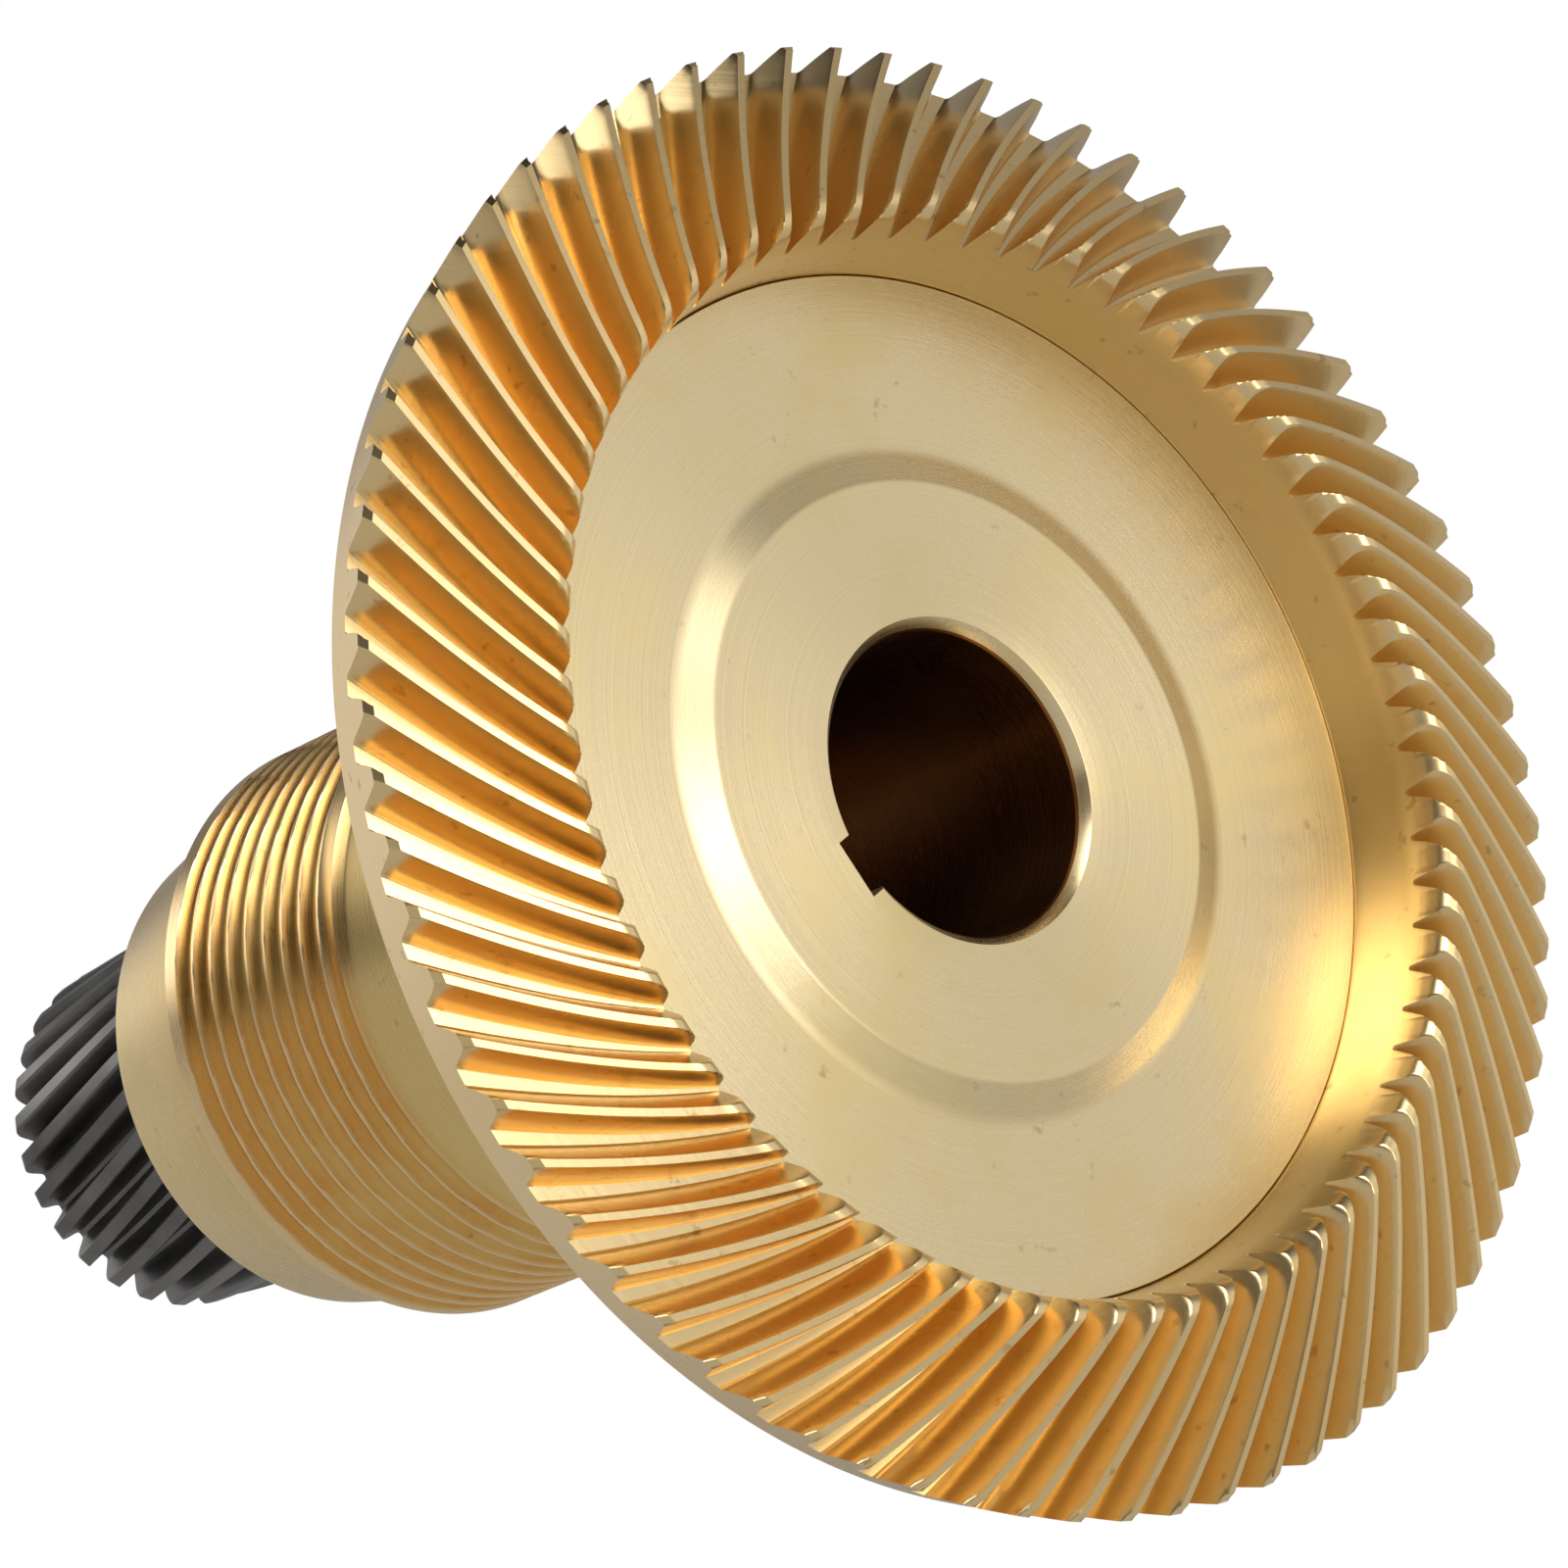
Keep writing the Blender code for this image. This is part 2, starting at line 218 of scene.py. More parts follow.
def tooth_columns():
    """Across one tooth from gap to gap: (side, depth 0 to 1, extra width), where side is -1, 0 or 1."""
    flank = [(1.0, 0.55), (1.0, 0.25), (0.97, 0.08), (0.9, 0.0), (0.75, 0.0), (0.6, 0.0)]
    flank += [(0.45, 0.0), (0.3, 0.0), (0.15, 0.0), (0.05, 0.0), (0.0, -0.05), (0.0, -0.35)]
    left = [(-1, depth, extra) for depth, extra in flank]
    right = [(1, depth, extra) for depth, extra in reversed(flank)]
    return [(-1, 1.0, 1.0)] + left + [(0, 0.0, 0.0)] + right


COLUMNS = tooth_columns()


def crown_row(along, drop, turn_extra=0.0):
    """One ring of points across all the teeth. Nothing stands higher than drop below the blank's cone."""
    rng = np.random.default_rng(7)
    slant = FACE_WIDTH * (1.0 - along)
    tip_radius = TIP_RADIUS - slant * math.cos(FACE_SLOPE)
    tip_y = TIP_Y - slant * math.sin(FACE_SLOPE)
    turn = SPIRAL_TURN * along + SPIRAL_BEND * along * (1.0 - along) + turn_extra
    pitch = 360.0 / TEETH
    land_jitter = 1.0 + 0.05 * rng.standard_normal(TEETH)
    place_jitter = 0.02 * rng.standard_normal(TEETH)
    side = np.array([c[0] for c in COLUMNS], float)
    depth = np.array([c[1] for c in COLUMNS])
    extra = np.array([c[2] for c in COLUMNS])
    root_radius = tip_radius - TOOTH_DEPTH * math.sin(FACE_SLOPE)
    half_pitch = math.radians(pitch / 2.0) * root_radius
    foot = LAND_WIDTH / 2.0 + TOOTH_DEPTH * FLANK_SLOPE
    spare = max(half_pitch - foot, 0.05)
    down = np.clip(depth * TOOTH_DEPTH, drop, None)
    bulge = FLANK_BULGE * 4.0 * depth * (1.0 - depth)
    rows = []
    for tooth in range(TEETH):
        land = LAND_WIDTH / 2.0 * land_jitter[tooth]
        width = land + TOOTH_DEPTH * (FLANK_SLOPE * depth + bulge * FLANK_SLOPE)
        width = width + np.where(extra > 0.0, extra * spare, extra * land)
        width = np.where(extra >= 1.0, half_pitch, width)
        radius = tip_radius - down * math.sin(FACE_SLOPE)
        reach = np.degrees(side * width / np.where(depth > 0.99, root_radius, radius))
        angle = CROWN_PHASE - turn + tooth * pitch + place_jitter[tooth] * (depth < 0.99) + reach
        rows.append(ring_points(radius, angle, tip_y + down * math.cos(FACE_SLOPE)))
    return np.concatenate(rows)


def crown_plain_row(radius, y, along, turn_extra=0.0):
    """A plain circle whose points have the angles of the teeth at that distance along them."""
    points = crown_row(along, 0.0, turn_extra)
    angle = np.degrees(np.arctan2(points[:, 2], points[:, 0]))
    return ring_points(np.full(len(angle), radius), angle, y)


def tooth_rows():
    """Rings along the teeth, from the rounded inner ends to the chamfered outer ends."""
    rows = []
    steps = 6
    for k in range(steps + 1):
        inward = TOE_ROUND * math.cos(math.pi / 2.0 * k / steps)
        drop = TOE_ROUND - math.sqrt(max(TOE_ROUND ** 2 - inward ** 2, 0.0))
        rows.append(crown_row((TOE_ROUND - inward) / FACE_WIDTH, drop))
    middle = 22
    first = TOE_ROUND / FACE_WIDTH
    last = 1.0 - HEEL_CHAMFER / FACE_WIDTH
    for k in range(1, middle + 1):
        rows.append(crown_row(first + (last - first) * k / middle, 0.0))
    rows.append(crown_row(1.0, HEEL_CHAMFER * 0.8))
    return rows


def inner_wall_rows():
    """The wall inside the teeth, from the web up to the tooth gaps."""
    sine = math.sin(FACE_SLOPE)
    cosine = math.cos(FACE_SLOPE)
    depth = TOOTH_DEPTH + 0.12
    top = np.array((
        TIP_RADIUS - FACE_WIDTH * cosine - depth * sine,
        TIP_Y - FACE_WIDTH * sine + depth * cosine,
    ))
    foot = np.array((WEB_RADIUS + SEAM + 0.2, WEB_Y - 0.4))
    return [crown_plain_row(*((1.0 - k / 4.0) * foot + k / 4.0 * top), 0.0) for k in range(5)]


def gear_ring():
    """The toothed ring. Its hidden back turns a little further, so that its last ring meets its first."""
    sine = math.sin(FACE_SLOPE)
    cosine = math.cos(FACE_SLOPE)
    teeth_turned = round(SPIRAL_TURN * TEETH / 360.0)
    ease = teeth_turned * 360.0 / TEETH - SPIRAL_TURN
    edge = BACK_CONE_LENGTH
    back = [(TIP_RADIUS - s * sine, TIP_Y + s * cosine, 0.0) for s in (TOOTH_DEPTH + 0.15, 8.5, edge - 0.5)]
    back += [
        (TIP_RADIUS - edge * sine - 0.4, TIP_Y + edge * cosine - 0.05, 0.1),
        (RING_BACK_RADIUS + 0.6, RING_HIGH[1] - 0.4, 0.5),
        (RING_BACK_RADIUS - 0.2, RING_HIGH[1], 0.6),
        (SHOULDER_RADIUS + GAP + 0.5, RING_HIGH[1], 0.9),
        (SHOULDER_RADIUS + GAP, RING_HIGH[1] - 0.5, 1.0),
        (SHOULDER_RADIUS + GAP, WEB_BACK_Y - GAP, 1.0),
        (WEB_RADIUS + SEAM, WEB_BACK_Y - GAP, 1.0),
        (WEB_RADIUS + SEAM, WEB_Y + 0.2, 1.0),
        (WEB_RADIUS + SEAM + 0.08, WEB_Y, 1.0),
    ]
    rows = inner_wall_rows() + tooth_rows()
    rows += [crown_plain_row(radius, y, 1.0, ease * part) for radius, y, part in back]
    return outward(loft("gear_ring_teeth", rows, shift=teeth_turned * len(COLUMNS), sharp=32.0))


# Hub

def hub_columns():
    """Nominal angles round the hub and which of them lie in the keyway."""
    half = math.degrees(math.asin(KEYWAY_WIDTH / 2.0 / BORE_RADIUS))
    floor_half = math.degrees(math.atan2(KEYWAY_WIDTH / 2.0, BORE_RADIUS + KEYWAY_DEPTH))
    floor = np.linspace(-floor_half, floor_half, 9)
    outside = np.linspace(half, 360.0 - half, 248)
    return np.concatenate([floor, outside]) + KEYWAY_ANGLE, len(floor)


HUB_ANGLES, KEYWAY_COLUMNS = hub_columns()


def keyed_row(radius, y):
    """A ring of the bore or its chamfer, with the keyway's floor and sides let into it."""
    angles = HUB_ANGLES.copy()
    edge = math.degrees(math.asin(KEYWAY_WIDTH / 2.0 / radius))
    angles[KEYWAY_COLUMNS] = KEYWAY_ANGLE + edge
    angles[-1] = KEYWAY_ANGLE + 360.0 - edge
    radii = np.full(len(angles), radius)
    floor = np.radians(angles[:KEYWAY_COLUMNS] - KEYWAY_ANGLE)
    radii[:KEYWAY_COLUMNS] = (BORE_RADIUS + KEYWAY_DEPTH) / np.cos(floor)
    return ring_points(radii, angles, y)


def hub_row(radius, y):
    return ring_points(np.full(len(HUB_ANGLES), radius), HUB_ANGLES, y)


def thread_row(y):
    """A ring of the thread: one helical groove, deepest between narrow crests, with run-outs."""
    turn = (HUB_ANGLES % 360.0) / 360.0
    place = (y - THREAD_START_Y) / THREAD_PITCH - turn
    across = place - np.floor(place)
    travelled = np.floor(place) + turn
    start = smooth((travelled + 0.6) / 0.25)
    end = smooth((THREAD_TURNS - 1.05 - travelled) / 0.12)
    crest = 0.07
    across = np.clip((across - crest) / (1.0 - 2.0 * crest), 0.0, 1.0)
    shape = np.sin(math.pi * across) ** 0.62
    radii = THREAD_RADIUS - THREAD_DEPTH * shape * start * end
    return ring_points(radii, HUB_ANGLES, y)


def threaded_hub():
    thread_end = THREAD_START_Y + THREAD_TURNS * THREAD_PITCH
    rows = []
    for y in (KEYWAY_LENGTH, 30.0, BORE_CHAMFER + 0.25):
        rows.append(keyed_row(BORE_RADIUS, y))
    rows.append(keyed_row(BORE_RADIUS + 0.06, BORE_CHAMFER))
    rows.append(keyed_row(BORE_RADIUS + BORE_CHAMFER - 0.06, 0.04))
    rows.append(keyed_row(BORE_RADIUS + BORE_CHAMFER + 0.15, 0.0))
    front = [
        (BORE_RADIUS + 5.5, 0.0),
        (BOSS_RADIUS, 0.0),
        (BOSS_FOOT_RADIUS, WEB_Y),
        (WEB_RADIUS, WEB_Y),
        (WEB_RADIUS, WEB_BACK_Y),
        (SHOULDER_RADIUS, WEB_BACK_Y),
        (SHOULDER_RADIUS, SHOULDER_BACK_Y),
        (NECK_RADIUS, 26.5),
        (NECK_RADIUS, THREAD_START_Y - 2.4),
    ]
    rows += [hub_row(r, y) for r, y in rounded(front, {1: 0.35, 2: 1.1, 3: 0.2, 5: 0.4, 6: 0.6, 7: 9.0}, 6)]
    rows.append(hub_row(NECK_RADIUS + 0.1, THREAD_START_Y - 2.2))
    rows.append(hub_row(THREAD_RADIUS - 0.1, THREAD_START_Y - 1.1))
    count = 300
    for k in range(count + 1):
        y = THREAD_START_Y - 1.0 + (thread_end + 0.2 - THREAD_START_Y + 1.0) * k / count
        rows.append(thread_row(y))
    back = [
        (THREAD_RADIUS - 0.1, thread_end + 0.3),
        (END_LAND_RADIUS + 0.2, thread_end + 1.0),
        (END_LAND_RADIUS, thread_end + 1.4),
        (END_NOSE_RADIUS, HUB_END_Y),
        (BORE_RADIUS + BORE_CHAMFER, HUB_END_Y),
        (BORE_RADIUS, HUB_END_Y - BORE_CHAMFER),
        (BORE_RADIUS, KEYWAY_LENGTH + 0.01),
    ]
    rows += [hub_row(r, y) for r, y in rounded(back, {2: 0.3, 3: 0.8, 4: 0.2}, 4)]
    return outward(loft("hub_body", rows, sharp=32.0))


# Pinion and the pieces inside

def pinion_row(along, drop=0.0):
    """A ring across the pinion's teeth, drop below its tip surface at the rounded ends."""
    land_radius = PINION_FRONT_RADIUS + (PINION_BACK_RADIUS - PINION_FRONT_RADIUS) * along
    y = PINION_LOW[1] + (PINION_HIGH[1] - PINION_LOW[1]) * along
    pitch = 360.0 / PINION_TEETH
    half = [(0.5, 1.0), (0.43, 1.0), (0.385, 0.95), (0.35, 0.84), (0.315, 0.68), (0.28, 0.5), (0.245, 0.32)]
    half += [(0.215, 0.16), (0.185, 0.04), (0.16, 0.0), (0.08, 0.0)]
    across = [(-w, d) for w, d in half] + [(0.0, 0.0)] + [(w, d) for w, d in reversed(half[1:])]
    part = np.array([a[0] for a in across])
    depth = np.clip(np.array([a[1] for a in across]) * PINION_TOOTH_DEPTH, drop, None)
    rows = []
    for tooth in range(PINION_TEETH):
        middle = tooth * pitch + PINION_TURN * along
        rows.append(ring_points(land_radius - depth, middle + part * pitch, y))
    return np.concatenate(rows)


def plain_pinion_row(radius, y, along, turn=0.0):
    points = pinion_row(along)
    angle = np.degrees(np.arctan2(points[:, 2], points[:, 0])) + turn
    return ring_points(np.full(len(angle), radius), angle, y)


def cut_block(obj, size, centre):
    """Cuts a block, given in millimetres, out of obj."""
    x, y, z = (s / 2.0 for s in size)
    corners = [(sx * x, sy * y, sz * z) for sx in (-1, 1) for sy in (-1, 1) for sz in (-1, 1)]
    points = [tuple((c[i] + centre[i]) * MM for i in range(3)) for c in corners]
    faces = [(0, 1, 3, 2), (4, 6, 7, 5), (0, 4, 5, 1), (2, 3, 7, 6), (0, 2, 6, 4), (1, 5, 7, 3)]
    cutter = outward(mesh_object(obj.name + "_cutter", points, faces))
    change = obj.modifiers.new("cut", "BOOLEAN")
    change.operation = "DIFFERENCE"
    change.solver = "EXACT"
    change.object = cutter
    graph = bpy.context.evaluated_depsgraph_get()
    mesh = bpy.data.meshes.new_from_object(obj.evaluated_get(graph))
    obj.modifiers.clear()
    obj.data = mesh
    mesh.shade_smooth()
    mesh.set_sharp_from_angle(angle=math.radians(35.0))
    bpy.data.objects.remove(cutter)
    return obj


def helical_pinion():
    length = PINION_HIGH[1] - PINION_LOW[1]
    bore = SEAT_RADIUS + GAP
    end_round = 1.6
    teeth_turned = round(PINION_TURN * PINION_TEETH / 360.0)
    ease = teeth_turned * 360.0 / PINION_TEETH - PINION_TURN
    rows = [plain_pinion_row(bore, PINION_LOW[1] + 0.5, 0.0)]
    rows.append(plain_pinion_row(bore + 0.5, PINION_LOW[1], 0.0))
    rows.append(plain_pinion_row(PINION_FRONT_RADIUS - PINION_TOOTH_DEPTH - 0.5, PINION_LOW[1], 0.0))
    steps = 5
    for k in range(steps):
        x = end_round * (1.0 - math.cos(math.pi / 2.0 * k / steps))
        drop = end_round - math.sqrt(end_round ** 2 - (end_round - x) ** 2)
        rows.append(pinion_row(x / length, drop))
    for k in range(15):
        rows.append(pinion_row((end_round + (length - 2.0 * end_round) * k / 14.0) / length))
    for k in reversed(range(steps)):
        x = end_round * (1.0 - math.cos(math.pi / 2.0 * k / steps))
        drop = end_round - math.sqrt(end_round ** 2 - (end_round - x) ** 2)
        rows.append(pinion_row(1.0 - x / length, drop))
    root = PINION_BACK_RADIUS - PINION_TOOTH_DEPTH
    rows.append(plain_pinion_row(root - 0.5, PINION_HIGH[1], 1.0))
    rows.append(plain_pinion_row(bore + 0.5, PINION_HIGH[1], 1.0, ease * 0.5))
    rows.append(plain_pinion_row(bore, PINION_HIGH[1] - 0.5, 1.0, ease))
    around = rows[0].shape[0] // PINION_TEETH
    obj = outward(loft("pinion_teeth", rows, shift=-teeth_turned * around, sharp=40.0))
    top = KEY_TOP + GAP
    size = (KEY_SIZE + 2.0 * GAP, length + 2.0, 6.0)
    return cut_block(obj, size, (0.0, (PINION_LOW[1] + PINION_HIGH[1]) / 2.0, top - 3.0))


def ring_piece(name, node, inner, outer, edge):
    """A bush or washer between a node's two faces, with its edges broken."""
    low, high = box_mm(node)
    front, back = low[1], high[1]
    profile = [
        (inner, back - edge),
        (inner, front + edge),
        (inner + edge, front),
        (outer - edge, front),
        (outer, front + edge),
        (outer, back - edge),
        (outer - edge, back),
        (inner + edge, back),
    ]
    return outward(turned(name, profile, 96))


def retaining_ring():
    """An open spring clip with rounded ends, in the spindle's groove."""
    low, high = box_mm("retaining_ring")
    inner, middle, outer = CLIP_RADII
    edge = 0.2
    angles = np.linspace(20.0, 340.0, 97)
    section = [
        (inner + edge, low[1]),
        (outer - edge, low[1]),
        (outer, low[1] + edge),
        (outer, high[1] - edge),
        (outer - edge, high[1]),
        (inner + edge, high[1]),
        (inner, high[1] - edge),
        (inner, low[1] + edge),
    ]
    rows = []
    for k, angle in enumerate(angles):
        from_end = min(k, len(angles) - 1 - k)
        narrow = (0.35, 0.7, 0.9, 1.0)[min(from_end, 3)]
        radii = [middle + (r - middle) * narrow for r, y in section]
        rows.append(ring_points(np.array(radii), np.full(8, angle), np.array([y for r, y in section])))
    return outward(loft("spring_clip", rows, closed=False))


def cap_screw():
    """A socket head screw: knurled head with broken edges, hexagon socket and a threaded shank."""
    low, high = box_mm("pinion_screw")
    head, top = SCREW_HEAD_RADIUS, high[1]
    under = top - SCREW_HEAD_HEIGHT
    angles = np.arange(144) * 2.5
    wave = 0.12 * (1.0 + np.cos(np.radians(angles) * 48.0))
    hexagon = np.abs((angles + 30.0) % 60.0 - 30.0)
    socket = HEXAGON_HALF_WIDTH / np.cos(np.radians(hexagon))
    rows = []
    shank, pitch = SCREW_RADIUS, SCREW_PITCH
    rows.append(ring_points(np.full(144, 1.5), angles, low[1]))
    rows.append(ring_points(np.full(144, 3.3), angles, low[1]))
    for y in np.arange(low[1] + 0.4, under - 0.6, pitch / 6.0):
        phase = (y / pitch - angles / 360.0) % 1.0
        rows.append(ring_points(shank - 0.55 * np.abs(2.0 * phase - 1.0), angles, y))
    rows.append(ring_points(np.full(144, shank), angles, under - 0.3))
    rows.append(ring_points(np.full(144, shank), angles, under))
    rows.append(ring_points(np.full(144, head - 0.5), angles, under))
    rows.append(ring_points(np.full(144, head - 0.25), angles, under + 0.3))
    rows.append(ring_points(head - wave, angles, under + 0.7))
    rows.append(ring_points(head - wave, angles, top - 1.1))
    rows.append(ring_points(np.full(144, head - 0.3), angles, top - 0.7))
    rows.append(ring_points(np.full(144, head - 0.8), angles, top - 0.15))
    rows.append(ring_points(np.full(144, head - 1.2), angles, top))
    rows.append(ring_points(np.full(144, 3.6), angles, top))
    rows.append(ring_points(socket, angles, top - 0.25))
    rows.append(ring_points(socket, angles, top - 4.0))
    rows.append(ring_points(socket * 0.3, angles, top - 4.8))
    return outward(loft("socket_cap_screw", rows, closed=False, sharp=30.0))


def spindle():
    """The pinion's spindle: two journals with a relief between, clip groove, broken edges and tapped end."""
    low, high = box_mm("pinion_spindle")
    radius = high[0]
    front, back = low[1], high[1]
    groove, groove_end = CLIP_GROOVE_Y, CLIP_GROOVE_Y + CLIP_GROOVE_WIDTH
    shoulder = PINION_LOW[1] - GAP
    relief = radius - RELIEF_DEPTH
    profile = [
        (2.2, front + 3.5),
        (2.2, front + 2.5),
        (3.6, front),
        (radius - 1.2, front),
        (radius, front + 1.2),
        (radius, groove - 0.2),
        (radius - 0.2, groove),
        (CLIP_GROOVE_RADIUS, groove),
        (CLIP_GROOVE_RADIUS, groove_end),
        (radius - 0.2, groove_end),
        (radius, groove_end + 0.2),
        (radius, RELIEF_START_Y - 0.5),
        (relief, RELIEF_START_Y),
        (relief, RELIEF_END_Y),
        (radius, RELIEF_END_Y + 0.5),
        (radius, shoulder - 0.6),
        (radius - 0.6, shoulder),
        (SEAT_RADIUS + 0.5, shoulder),
        (SEAT_RADIUS, shoulder + 0.5),
        (SEAT_RADIUS, back - 0.8),
        (SEAT_RADIUS - 0.8, back),
        (TAPPED_RADIUS + 0.4, back),
        (TAPPED_RADIUS, back - 0.5),
        (TAPPED_RADIUS, back - TAPPED_DEPTH),
    ]
    obj = outward(turned("ground_spindle", profile, 128, closed=False, sharp=28.0))
    low, high = box_mm("pinion_key")
    size = (KEY_SIZE + 2.0 * GAP, high[1] - low[1] + 2.0 * GAP, 6.0)
    return cut_block(obj, size, (0.0, (low[1] + high[1]) / 2.0, low[2] - GAP + 3.0))


# Materials

class Nodes:
    """Small helper that adds nodes to a new Principled material and links them."""

    def __init__(self, name):
        self.material = bpy.data.materials.new(name)
        self.material.use_nodes = True
        self.tree = self.material.node_tree
        self.shader = self.tree.nodes["Principled BSDF"]
        self.place = self.add("ShaderNodeTexCoord").outputs["Object"]

    def add(self, kind, **settings):
        node = self.tree.nodes.new(kind)
        for key, value in settings.items():
            setattr(node, key, value)
        return node

    def link(self, source, target):
        self.tree.links.new(source, target)

    def math(self, operation, a, b=None, c=None):
        node = self.add("ShaderNodeMath", operation=operation)
        for i, value in enumerate((a, b, c)):
            if value is None:
                continue
            if isinstance(value, (int, float)):
                node.inputs[i].default_value = value
            else:
                self.link(value, node.inputs[i])
        return node.outputs[0]

    def noise(self, scale, detail=3.0, roughness=0.55, vector=None, dimensions="3D", w=None):
        node = self.add("ShaderNodeTexNoise", noise_dimensions=dimensions)
        node.inputs["Scale"].default_value = scale
        node.inputs["Detail"].default_value = detail
        node.inputs["Roughness"].default_value = roughness
        if dimensions == "1D":
            self.link(w, node.inputs["W"])
        else:
            self.link(vector or self.place, node.inputs["Vector"])
        return node.outputs["Fac"]

    def ramp(self, value, stops):
        node = self.add("ShaderNodeValToRGB")
        elements = node.color_ramp.elements
        while len(elements) < len(stops):
            elements.new(0.5)
        for element, (position, color) in zip(elements, stops):
            element.position = position
            element.color = (*color, 1.0)
        self.link(value, node.inputs[0])
        return node.outputs[0]

    def mix(self, factor, a, b, blend="MIX"):
        node = self.add("ShaderNodeMix", data_type="RGBA", blend_type=blend)
        for socket, value in ((node.inputs[0], factor), (node.inputs[6], a), (node.inputs[7], b)):
            if isinstance(value, tuple):
                socket.default_value = (*value, 1.0)
            elif isinstance(value, (int, float)):
                socket.default_value = value
            else:
                self.link(value, socket)
        return node.outputs[2]

    def radius(self):
        """Distance from the shaft axis and position along it, in metres."""
        split = self.add("ShaderNodeSeparateXYZ")
        self.link(self.place, split.inputs[0])
        across = self.math("POWER", split.outputs[0], 2.0)
        upright = self.math("POWER", split.outputs[2], 2.0)
        square = self.math("ADD", across, upright)
        return self.math("SQRT", square), split.outputs[1]

    def bump(self, height, strength, distance, normal=None):
        node = self.add("ShaderNodeBump")
        node.inputs["Strength"].default_value = strength
        node.inputs["Distance"].default_value = distance
        self.link(height, node.inputs["Height"])
        if normal is not None:
            self.link(normal, node.inputs["Normal"])
        return node.outputs["Normal"]


def turned_metal(
    name, color, tarnish, roughness, marks, mark_depth, painted_tint_zones=None, bore=None, crests=None,
):
    """A turned metal: fine rings round the axis, cloudy tarnish, and roughness that varies with both.

    zones lists (place along the shaft, color), a painted reflection tint; bore is (radius, color) for
    darker, painted shade inside the bore; and crests is (from, lower radius, upper radius, color) for a
    painted highlight on the tops of a thread."""
    n = Nodes(name)
    n.shader.inputs["Metallic"].default_value = 1.0
    n.shader.inputs["Anisotropic"].default_value = 0.7
    n.shader.inputs["Anisotropic Rotation"].default_value = 0.25
    tangent = n.add("ShaderNodeTangent", direction_type="RADIAL", axis="Y")
    n.link(tangent.outputs[0], n.shader.inputs["Tangent"])
    radius, along = n.radius()
    # Painted reflection tint: the colour is set zone by zone along the shaft, standing in for how
    # differently each zone reflects the light.
    if painted_tint_zones is not None:
        color = n.ramp(n.math("DIVIDE", along, ZONE_LENGTH), [(y / ZONE_LENGTH, c) for y, c in painted_tint_zones])
    # Painted highlight: the outermost radii of the thread, its crest tops, get a lighter colour that stands
    # in for the bright lines light draws along them.
    if crests is not None:
        start, low, high, light = crests
        crest_highlight_mask = n.ramp(n.math("DIVIDE", radius, 0.1), [(low / 0.1, (0, 0, 0)), (high / 0.1, (1, 1, 1))])
        crest_highlight_mask = n.math("MULTIPLY", crest_highlight_mask, n.math("GREATER_THAN", along, start))
        color = n.mix(crest_highlight_mask, color, light)
    reach = n.math("ADD", radius, along)
    rings = n.noise(marks, 4.0, 0.7, dimensions="1D", w=reach)
    fine = n.noise(marks * 6.0, 2.0, 0.6, dimensions="1D", w=reach)
    clouds = n.noise(38.0, 5.0, 0.6)
    spots = n.noise(260.0, 3.0, 0.6)
    stain = n.math("MULTIPLY", n.ramp(clouds, [(0.48, (0, 0, 0)), (0.68, (1, 1, 1))]), TARNISH_AMOUNT)
    base = n.mix(stain, color, tarnish)
    shade = n.ramp(rings, [(0.3, (0.90, 0.90, 0.90)), (0.7, (1.0, 1.0, 1.0))])
    base = n.mix(0.6, base, shade, "MULTIPLY")
    dots = n.ramp(spots, [(0.24, (0.55, 0.5, 0.45)), (0.33, (1, 1, 1))])
    base = n.mix(0.6, base, dots, "MULTIPLY")
    # Painted shade: inside the given radius the bore is coloured dark brown, darker still in cloudy patches,
    # standing in for the shade down the hole.
    if bore is not None:
        inside = n.math("LESS_THAN", radius, bore[0])
        base = n.mix(inside, base, n.mix(clouds, bore[1], tuple(c * 0.3 for c in bore[1])))
    n.link(base, n.shader.inputs["Base Color"])
    rough = n.math("MULTIPLY_ADD", rings, 0.16, roughness - 0.08)
    n.link(n.math("MULTIPLY_ADD", stain, 0.12, rough), n.shader.inputs["Roughness"])
    height = n.math("MULTIPLY_ADD", fine, 0.4, rings)
    n.link(n.bump(height, 0.6, mark_depth), n.shader.inputs["Normal"])
    return n.material


TARNISH_AMOUNT = 0.5
ZONE_LENGTH = 0.2
CHAMPAGNE = (0.84, 0.68, 0.40)
GOLD = (0.77, 0.55, 0.23)
THREAD_REFLECTION_ORANGE = (0.70, 0.35, 0.085)
# Painted reflection tint along the hub, one bronze part coloured zone by zone: paler champagne at the front,
# deeper orange over the thread where light bounces between the flanks, paler again at the nose.
HUB_PAINTED_TINT = [
    (0.0, CHAMPAGNE),
    (0.022, CHAMPAGNE),
    (0.040, GOLD),
    (0.0785, GOLD),
    (0.0800, THREAD_REFLECTION_ORANGE),
    (0.1160, THREAD_REFLECTION_ORANGE),
    (0.1172, GOLD),
    (0.1390, (0.82, 0.63, 0.33)),
]
# Painted highlight on the thread's crest tops: where it starts along the shaft, the radii over which it
# fades in, and its lighter colour.
THREAD_CREST_HIGHLIGHT = (0.0785, 0.0397, 0.03998, (0.90, 0.72, 0.42))


